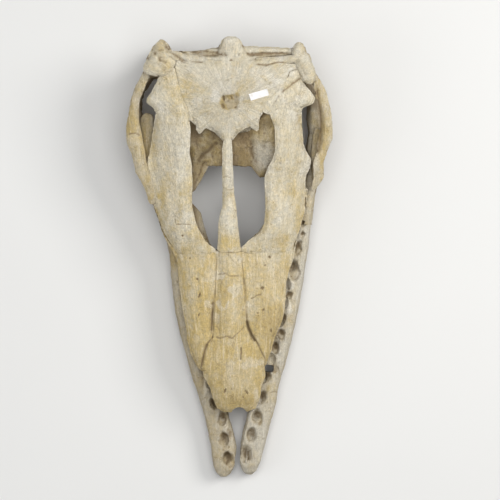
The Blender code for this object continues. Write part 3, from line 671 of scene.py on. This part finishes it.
def seam_map(surfaces, low, top):
    """1 along the lines where one bone's top gives way to the next one's, and 0 elsewhere."""
    owner = np.zeros(top.shape)
    for number, surface in enumerate(surfaces):
        i, j = squares(surface.points, low)
        here = surface.points[:, 2] > top[i, j] - 0.01
        owner[i[here], j[here]] = number + 1
    reach = round(SEAM_REACH / GRID)
    most = window(owner, reach, np.maximum.reduce)
    least = window(np.where(owner > 0, owner, len(surfaces) + 1), reach, np.minimum.reduce)
    seams = ((most != least) & (owner > 0)).astype(float)
    for axis in (0, 1):
        seams = spread(seams, 1, axis) / 3
    return np.minimum(seams * 1.4, 1)


def level(surfaces, seams_only=False):
    """Fills the narrow grooves between bones that meet, and evens out their small steps."""
    joined = [s for s in surfaces if s.node not in NOT_LEVELLED]
    low, top, _ = height_map(joined)
    reach = round(LEVEL_REACH / GRID)
    groove = closed(top, reach) - top
    even = top + groove * (1 - fade(groove, *LEVEL_MOST))
    for _ in range(LEVEL_ROUNDS):
        total = even.copy()
        count = np.ones_like(even)
        for axis in (0, 1):
            for k in (-1, 1):
                other = np.roll(even, k, axis)
                close = (np.abs(other - even) < LEVEL_STEP) & (other > 0)
                total += np.where(close, other, 0)
                count += close
        even = total / count
    shift = np.where(top > 0, even - top, 0)
    if seams_only:
        shift *= seam_map(joined, low, top)
    for surface in joined:
        at = (surface.points[:, :2] - low) / GRID - 0.5
        cell = np.floor(at).astype(int)
        t = at - cell
        rise = 0.0
        for i in (0, 1):
            for j in (0, 1):
                weight = np.where(i, t[:, 0], 1 - t[:, 0]) * np.where(j, t[:, 1], 1 - t[:, 1])
                rise = rise + weight * shift[cell[:, 0] + i, cell[:, 1] + j]
        below = top[squares(surface.points, low)] - surface.points[:, 2]
        surface.points[:, 2] += rise * (1 - fade(below, 5, 14))
        if not seams_only:
            surface.smooth(2, 0.4)


def border_map(surfaces):
    """How near each square of the floor is to a free border, where the height drops away."""
    low, top, _ = height_map(surfaces)
    foot = window(top, round(BORDER_REACH / GRID), np.minimum.reduce)
    return low, fade(top - foot, *BORDER_DROP)


def look(chart, points):
    """The chart's value under each point."""
    low, values = chart
    cell = np.floor((points[:, :2] - low) / GRID).astype(int)
    cell = np.clip(cell, 0, np.array(values.shape) - 1)
    return values[cell[:, 0], cell[:, 1]]


def height_map(surfaces):
    """The highest point over each square of the floor, and the mean of it round about."""
    every = np.concatenate([s.points for s in surfaces])
    low = every[:, :2].min(0) - MAP_MARGIN
    i, j = squares(every, low)
    top = np.full((i.max() + MAP_MARGIN, j.max() + MAP_MARGIN), -1.0)
    np.maximum.at(top, (i, j), every[:, 2])
    filled = (top > 0).astype(float)
    total = np.where(top > 0, top, 0)
    across = 2 * MEAN_REACH + 1
    for axis in (0, 1):
        for _ in range(MEAN_ROUNDS):
            total = spread(total, MEAN_REACH, axis) / across
            filled = spread(filled, MEAN_REACH, axis) / across
    return low, top, total / np.maximum(filled, 0.02)


def tint_maps(surfaces):
    """The ochre and grey shares of the bones that meet, with soft changes from one to the next."""
    joined = [s for s in surfaces if s.node not in NOT_LEVELLED]
    low, top, _ = height_map(joined)
    reach = round(BLEND_REACH / GRID)
    maps = []
    for name in ("ochre", "grey"):
        total = np.zeros_like(top)
        count = np.zeros_like(top)
        for surface in joined:
            here = squares(surface.points, low)
            np.add.at(total, here, getattr(surface, name))
            np.add.at(count, here, 1)
        for axis in (0, 1):
            for _ in range(BLEND_ROUNDS):
                total = spread(total, reach, axis)
                count = spread(count, reach, axis)
                scale = max(count.max(), 1)
                total, count = total / scale, count / scale
        maps.append((low, total / np.maximum(count, 1e-9)))
    for surface in joined:
        surface.ochre = look(maps[0], surface.points)
        surface.grey = look(maps[1], surface.points)


# How much painted shade the deep places and the creases get, on most bones and in the jaws
SHADE = (0.55, 1.0)
JAW_SHADE = (0.3, 0.4)
# How deep a place is where the painted shade of deep places starts and ends
DEEP_FROM = (7, 30)
# Where towards the front the snout's own tint starts and is full, and how strong it is
SNOUT = (60, 230)
SNOUT_OCHRE = 0.40
SNOUT_DARK = 0.05


def dents(surface, normals, rounds):
    """How far each point lies under the surface as it is after some rounds of smoothing."""
    return ((surface.blurred(surface.points, rounds) - surface.points) * normals).sum(1)


def finish_colours(surface, heights):
    """Stores how ochre, grey, dark and pale each point is. The dark share holds stains and marks, and
    painted shade in deep places, in creases and on sides that face down or sideways.
    """
    low, _, mean = heights
    normals = surface.normals()
    p = surface.points
    depth = mean[squares(p, low)] - p[:, 2]
    dent = dents(surface, normals, 10)
    dent_fine = dents(surface, normals, 3)
    fibres = fan(p, surface.focus)
    patches = noise(p, 70, 61, 3)
    mottle = noise(fibres, (34, 13, 13), 71, 4)
    spots = noise(p, 9, 81, 3)
    front = fade(-p[:, 1], *SNOUT)
    ochre = surface.ochre + 0.42 * mottle + 0.34 * patches + 0.3 * spots + surface.yellow
    if surface.node not in NOT_LEVELLED:
        ochre += SNOUT_OCHRE * front
    grey = surface.grey * (1 + 1.3 * noise(fibres, (48, 17, 17), 91, 4)) - 0.3 * surface.yellow
    # The bone's own darkness: stain, and on the bones deep inside and the left jaw painted shade
    dark = surface.stain * (0.75 + 0.5 * noise(fibres, (40, 14, 14), 101, 3))
    deep, creases = JAW_SHADE if surface.node in JAWS else SHADE
    # Painted shade: the deeper a place lies under the mean height round about, and the more it is a
    # crease, the darker it is painted
    dark += deep * fade(depth, *DEEP_FROM)
    dark += (0.5 * fade(dent, 0.35, 1.7) + 0.4 * fade(dent_fine, 0.05, 0.3)) * creases
    # Painted shade: sides that face down or sideways are painted darker
    dark += 0.35 * fade(-normals[:, 2], -0.1, 0.6) + 0.2 * (1 - fade(normals[:, 2], 0.1, 0.75))
    # The marks' darkness, which is painted shade in the sockets, troughs, grooves and vault recesses,
    # and cracks or stain elsewhere, and the snout's own darker tint
    dark += surface.dark + SNOUT_DARK * front
    rubbed = fade(-dent, 0.25, 1.3) * (0.15 + 0.55 * surface.free)
    pale = rubbed + surface.bleach + surface.flakes * (0.3 + 0.6 * noise(p, 60, 121, 2))
    for name, values in (("ochre", ochre), ("grey", grey), ("dark", dark), ("pale", pale)):
        surface.paint(name, np.clip(values, 0, 1))
    surface.paint("fibres", fibres * MM)


# Materials

class Tree:
    """Makes shader nodes in few words."""

    def __init__(self, name):
        self.material = bpy.data.materials.new(name)
        self.material.use_nodes = True
        self.nodes = self.material.node_tree.nodes
        self.links = self.material.node_tree.links
        self.shader = self.nodes["Principled BSDF"]

    def set(self, socket, value):
        if isinstance(value, bpy.types.NodeSocket):
            self.links.new(value, socket)
        else:
            socket.default_value = value

    def node(self, kind, inputs=(), **settings):
        made = self.nodes.new(kind)
        for key, value in settings.items():
            setattr(made, key, value)
        for key, value in dict(inputs).items():
            self.set(made.inputs[key], value)
        return made

    def attribute(self, name, output="Fac"):
        return self.node("ShaderNodeAttribute", attribute_name=name).outputs[output]

    def math(self, operation, a, b=0.0, clamp=False):
        return self.node("ShaderNodeMath", {0: a, 1: b}, operation=operation, use_clamp=clamp).outputs[0]

    def sum(self, first, *others):
        for other in others:
            first = self.math("ADD", first, other)
        return first

    def times(self, first, *others):
        for other in others:
            first = self.math("MULTIPLY", first, other)
        return first

    def swing(self, value, middle, share):
        """How far a value is from its middle, times a share."""
        return self.times(self.math("SUBTRACT", value, middle), share)

    def ramp(self, value, low, high, a=0.0, b=1.0):
        inputs = {"Value": value, "From Min": low, "From Max": high, "To Min": a, "To Max": b}
        return self.node("ShaderNodeMapRange", inputs, interpolation_type="SMOOTHSTEP").outputs[0]

    def mix(self, factor, a, b, blend="MIX"):
        made = self.node("ShaderNodeMix", data_type="RGBA", blend_type=blend)
        for socket, value in zip((made.inputs[0], made.inputs[6], made.inputs[7]), (factor, a, b)):
            self.set(socket, value)
        return made.outputs[2]

    def scaled(self, vector, scale):
        inputs = {"Vector": vector, "Scale": scale}
        return self.node("ShaderNodeMapping", inputs).outputs[0]

    def noise(self, vector, scale, detail=4.0, roughness=0.6):
        inputs = {"Vector": vector, "Scale": scale, "Detail": detail, "Roughness": roughness}
        return self.node("ShaderNodeTexNoise", inputs).outputs["Fac"]


CREAM = (0.70, 0.635, 0.485, 1)
OCHRE = (0.60, 0.46, 0.20, 1)
GREY = (0.665, 0.635, 0.555, 1)
# The dark brown used both for stains and for painted shade
STAIN_AND_SHADE = (0.215, 0.155, 0.085, 1)
# The pale chalk colour of worn and bleached bone, also used for a painted lit patch in the vault
CHALK_AND_LIGHT = (0.83, 0.80, 0.72, 1)
RUST = (0.43, 0.30, 0.13, 1)
SHINE = 0.28

# Textures drawn out along the fibres: scale along, across and through, detail and roughness
FIBRE_TEXTURES = (((45, 520, 300), 5.0, 0.65), ((150, 1500, 900), 3.0, 0.6), ((16, 150, 90), 4.0, 0.6))
# Even textures: scale, detail and roughness
EVEN_TEXTURES = ((38.0, 6.0, 0.62), (120.0, 4.0, 0.6), (330.0, 3.0, 0.7), (1100.0, 2.0, 0.6),
                 (30.0, 3.0, 0.55))
PORE_SCALE = 420.0


def bone_material(name, tint):
    tree = Tree(name)
    place = tree.node("ShaderNodeTexCoord").outputs["Object"]
    fibres = tree.attribute("fibres", "Vector")
    streaks, threads, bands = (tree.noise(tree.scaled(fibres, scale), 1.0, detail, rough)
                               for scale, detail, rough in FIBRE_TEXTURES)
    cloud, blotch, speck, grain, veins = (tree.noise(place, *row) for row in EVEN_TEXTURES)

    wander = tree.sum(tree.swing(streaks, 0.5, 1.0), tree.swing(cloud, 0.5, 1.3),
                      tree.swing(blotch, 0.5, 1.2), tree.swing(bands, 0.5, 1.0))
    ochre = tree.math("ADD", tree.attribute("ochre"), wander, clamp=True)
    colour = tree.mix(ochre, CREAM, OCHRE)
    shift = tree.sum(tree.swing(streaks, 0.52, 1.2), tree.swing(bands, 0.52, 1.6))
    grey = tree.math("ADD", tree.attribute("grey"), shift, clamp=True)
    colour = tree.mix(grey, colour, GREY)
    rusty = tree.times(tree.ramp(cloud, 0.60, 0.74), tree.ramp(speck, 0.45, 0.62), 0.5)
    colour = tree.mix(rusty, colour, RUST)
    # Pale chalky streaks, worn and bleached places, and the painted light of a lit wall in the vault, go
    # towards the chalk colour
    chalk_and_light = tree.times(tree.ramp(streaks, 0.56, 0.72), tree.ramp(cloud, 0.62, 0.45), 0.45)
    chalk_and_light = tree.math("ADD", chalk_and_light, tree.attribute("pale"), clamp=True)
    colour = tree.mix(tree.times(chalk_and_light, 0.6), colour, CHALK_AND_LIGHT)

    tone = tree.times(tree.ramp(threads, 0.3, 0.7, 0.82, 1.10), tree.ramp(speck, 0.3, 0.7, 0.86, 1.07),
                      tree.ramp(blotch, 0.3, 0.7, 0.91, 1.07), tree.ramp(bands, 0.3, 0.7, 0.90, 1.07),
                      tree.ramp(streaks, 0.3, 0.7, 0.90, 1.07))
    tinted = tree.node("ShaderNodeCombineColor", {0: tone, 1: tone, 2: tone}).outputs[0]
    colour = tree.mix(1.0, colour, tinted, "MULTIPLY")
    colour = tree.mix(1.0, colour, tint, "MULTIPLY")

    pores = tree.node("ShaderNodeTexVoronoi", {"Vector": place, "Scale": PORE_SCALE})
    pore = tree.times(tree.ramp(pores.outputs["Distance"], 0.30, 0.12), tree.ramp(cloud, 0.46, 0.60))
    far = tree.math("ABSOLUTE", tree.math("SUBTRACT", veins, 0.5))
    hairline = tree.times(tree.ramp(far, 0.011, 0.002), tree.ramp(blotch, 0.46, 0.58))
    scratch = tree.times(tree.ramp(streaks, 0.40, 0.32), tree.ramp(blotch, 0.50, 0.38))
    spoiled = tree.sum(tree.times(pore, 0.45), tree.times(hairline, 0.42), tree.times(scratch, 0.4))
    dark = tree.math("ADD", tree.attribute("dark"), spoiled, clamp=True)
    dark = tree.times(dark, tree.ramp(speck, 0.2, 0.8, 0.82, 1.0))
    # Darkens towards the dark brown: stains, pores and cracks, and the painted shade of deep places,
    # creases and sides
    colour = tree.mix(dark, colour, STAIN_AND_SHADE)

    height = tree.sum(tree.times(streaks, 0.0020), tree.times(threads, 0.0004),
                      tree.times(grain, 0.0002), tree.times(speck, 0.0012),
                      tree.times(blotch, 0.0030), tree.times(pore, -0.0006),
                      tree.times(hairline, -0.0005))
    bump = tree.node("ShaderNodeBump", {"Strength": 0.9, "Distance": 1.0, "Height": height})
    tree.set(tree.shader.inputs["Base Color"], colour)
    tree.set(tree.shader.inputs["Roughness"], tree.ramp(streaks, 0.3, 0.7, 0.78, 0.58))
    tree.set(tree.shader.inputs["Normal"], bump.outputs[0])
    tree.shader.inputs["Specular IOR Level"].default_value = SHINE
    return tree.material


PAPER = (0.86, 0.85, 0.85, 1)
SMUDGE = (0.74, 0.71, 0.67, 1)
PULP = (0.66, 0.64, 0.62, 1)


def paper_material():
    tree = Tree("label_paper")
    place = tree.node("ShaderNodeTexCoord").outputs["Object"]
    pulp = tree.noise(place, 900.0, 4.0, 0.6)
    smudge = tree.noise(place, 120.0, 4.0, 0.6)
    colour = tree.mix(tree.ramp(smudge, 0.4, 0.75), PAPER, SMUDGE)
    colour = tree.mix(tree.ramp(pulp, 0.4, 0.8, 0.0, 0.25), colour, PULP)
    bump = tree.node("ShaderNodeBump", {"Strength": 0.5, "Distance": 0.0002, "Height": pulp})
    tree.set(tree.shader.inputs["Base Color"], colour)
    tree.set(tree.shader.inputs["Normal"], bump.outputs[0])
    tree.shader.inputs["Roughness"].default_value = 0.55
    return tree.material


# Label

LABEL_CENTRE = (52, 290)
LABEL_SIZE = (34, 12)
LABEL_TURN = 0.3
LABEL_CELLS = (48, 18)
LABEL_THICK = 0.35
LABEL_LIFT = 0.35
LABEL_CORNER_LIFT = 0.25
LABEL_END_LIFT = 0.2
LABEL_EASING = 6
NOISE_SPAN = 60
ABOVE_ALL = 0.3


def label(roof):
    """A torn white slip that follows the roof, with its far corner lifted."""
    graph = bpy.context.evaluated_depsgraph_get()
    tree = BVHTree.FromObject(roof, graph)
    across, down = LABEL_CELLS
    cos, sin = math.cos(LABEL_TURN), math.sin(LABEL_TURN)
    a, b = np.meshgrid(np.linspace(-0.5, 0.5, across), np.linspace(-0.5, 0.5, down), indexing="ij")
    at = np.stack([a.ravel() * NOISE_SPAN, b.ravel() * NOISE_SPAN, np.zeros(a.size)], axis=1)
    ends = noise(at * (0, 1, 1), 9, 3, 3).reshape(a.shape) * 0.9
    sides = noise(at * (1, 0, 1), 12, 4, 3).reshape(a.shape) * 0.35
    x_flat = a * LABEL_SIZE[0] + ends * np.sign(a) * (np.abs(a) * 2) ** 6
    y_flat = b * LABEL_SIZE[1] + sides * np.sign(b) * (np.abs(b) * 2) ** 6
    x = LABEL_CENTRE[0] + x_flat * cos - y_flat * sin
    y = LABEL_CENTRE[1] + x_flat * sin + y_flat * cos
    lift = (LABEL_LIFT + LABEL_CORNER_LIFT * fade(a - b, 0.55, 1.0)
            + LABEL_END_LIFT * fade(np.abs(a), 0.4, 0.5))
    x, y = (x + DRAWN_AT[0]) * MM, (y + DRAWN_AT[1]) * MM
    under = np.empty(a.shape)
    for i in range(across):
        for j in range(down):
            hit = tree.ray_cast(Vector((x[i, j], y[i, j], ABOVE_ALL)), Vector((0, 0, -1)))[0]
            under[i, j] = hit.z / MM
    for _ in range(LABEL_EASING):
        near = np.pad(under, 1, mode="edge")
        mean = (near[:-2, 1:-1] + near[2:, 1:-1] + near[1:-1, :-2] + near[1:-1, 2:]) / 4
        under = np.maximum(under, mean)
    sheets = []
    mesh = bmesh.new()
    for rise in (0, LABEL_THICK):
        z = (under + lift + rise) * MM
        sheets.append([[mesh.verts.new((x[i, j], y[i, j], z[i, j])) for j in range(down)]
                       for i in range(across)])
    lower, upper = sheets
    for i in range(across - 1):
        for j in range(down - 1):
            mesh.faces.new((upper[i][j], upper[i + 1][j], upper[i + 1][j + 1], upper[i][j + 1]))
            mesh.faces.new((lower[i][j], lower[i][j + 1], lower[i + 1][j + 1], lower[i + 1][j]))
    rim = [(i, 0) for i in range(across)] + [(across - 1, j) for j in range(1, down)]
    rim += [(i, down - 1) for i in range(across - 2, -1, -1)] + [(0, j) for j in range(down - 2, 0, -1)]
    for (i, j), (k, l) in zip(rim, rim[1:] + rim[:1]):
        mesh.faces.new((lower[i][j], lower[k][l], upper[k][l], upper[i][j]))
    data = bpy.data.meshes.new("label_slip")
    mesh.to_mesh(data)
    mesh.free()
    slip = bpy.data.objects.new("label_slip", data)
    bpy.context.scene.collection.objects.link(slip)
    return slip


# Putting it together

def dress():
    surfaces = [Surface(node) for node in BONES]
    for surface in surfaces:
        surface.smooth(3)
        if surface.node == "skull_roof":
            soften_pit(surface)
        if surface.node in JAWS:
            fill_sockets(surface)
    level(surfaces)
    borders = border_map(surfaces)
    for surface in surfaces:
        weather(surface, borders)
    level(surfaces, seams_only=True)
    for surface in surfaces:
        surface.look_up()
        for mark in MARKS:
            mark.cut(surface)
        surface.smooth(1, 0.3)
    heights = height_map(surfaces)
    tint_maps(surfaces)
    low, high = np.array(cad_box) / MM - DRAWN_AT
    tints = {
        "bone_cream": bone_material("bone_cream", (1.0, 1.0, 1.0, 1)),
        "bone_ochre": bone_material("bone_ochre", (1.0, 0.985, 0.95, 1)),
        "bone_grey": bone_material("bone_grey", (0.985, 0.985, 0.985, 1)),
    }
    for surface in surfaces:
        surface.points = np.clip(surface.points, low + BOX_GAP, high - BOX_GAP)
        surface.points[:, 2] = np.maximum(surface.points[:, 2], 0)
        finish_colours(surface, heights)
        surface.store()
        surface.mesh.materials.clear()
        surface.mesh.materials.append(tints[surface.slot])
        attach(surface.object, "root")
        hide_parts(surface.node)
    roof = next(s.object for s in surfaces if s.node == "skull_roof")
    slip = label(roof)
    slip.data.materials.append(paper_material())
    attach(slip, "root")
    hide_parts("specimen_label")


# Floor, light and camera

# Millimetres: the point under the camera, its height, how wide the picture is at a height
# of FRAME_AT, and the sensor
CAMERA_OVER = (37.0, 16.6)
CAMERA_HEIGHT = 6000
FRAME_WIDTH = 900
FRAME_AT = 100
SENSOR = 36

# Metres
FLOOR_HALF = 8
SEES_TO = 50
FLOOR_TINTS = (0.72, 0.72, 0.71, 1), (0.75, 0.75, 0.74, 1)
LIGHT_TARGET = (0, 0, 0.1)
WORLD_STRENGTH = 0.24

# Each soft light's name, place, size, power in watts and colour
LIGHTS = (
    ("key", (2.3, 1.0, 2.3), (1.6, 1.6), 65, (1.0, 0.985, 0.955)),
    ("top", (0.1, 0.3, 3.2), (2.2, 2.2), 58, (1.0, 1.0, 1.0)),
    ("left", (-2.6, -0.6, 1.8), (2.0, 2.0), 20, (0.98, 0.99, 1.0)),
)


def floor():
    mesh = bpy.data.meshes.new("floor")
    corners = [(-1, -1), (1, -1), (1, 1), (-1, 1)]
    mesh.from_pydata([(x * FLOOR_HALF, y * FLOOR_HALF, 0) for x, y in corners], [], [(0, 1, 2, 3)])
    obj = bpy.data.objects.new("floor", mesh)
    bpy.context.scene.collection.objects.link(obj)
    tree = Tree("floor")
    place = tree.node("ShaderNodeTexCoord").outputs["Object"]
    cloud = tree.noise(place, 2.0, 3.0, 0.5)
    colour = tree.mix(cloud, *FLOOR_TINTS)
    tree.set(tree.shader.inputs["Base Color"], colour)
    tree.shader.inputs["Roughness"].default_value = 0.9
    mesh.materials.append(tree.material)


def soft_light(name, place, size, power, colour):
    data = bpy.data.lights.new(name, "AREA")
    data.shape = "RECTANGLE"
    data.size, data.size_y = size
    data.energy = power
    data.color = colour
    obj = bpy.data.objects.new(name, data)
    obj.location = place
    obj.rotation_euler = (Vector(LIGHT_TARGET) - Vector(place)).to_track_quat("-Z", "Y").to_euler()
    bpy.context.scene.collection.objects.link(obj)


def studio():
    scene = bpy.context.scene
    scene.view_settings.view_transform = "Standard"
    scene.view_settings.look = "None"
    world = bpy.data.worlds.new("studio")
    world.use_nodes = True
    background = world.node_tree.nodes["Background"]
    background.inputs["Color"].default_value = (1.0, 1.0, 1.0, 1)
    background.inputs["Strength"].default_value = WORLD_STRENGTH
    scene.world = world
    for light in LIGHTS:
        soft_light(*light)


def camera():
    data = bpy.data.cameras.new("camera")
    obj = bpy.data.objects.new("camera", data)
    data.sensor_width = SENSOR
    data.lens = SENSOR * (CAMERA_HEIGHT - FRAME_AT) / FRAME_WIDTH
    data.clip_end = SEES_TO
    obj.location = (CAMERA_OVER[0] * MM, CAMERA_OVER[1] * MM, CAMERA_HEIGHT * MM)
    bpy.context.scene.collection.objects.link(obj)
    bpy.context.scene.camera = obj


camera()
studio()
floor()
dress()
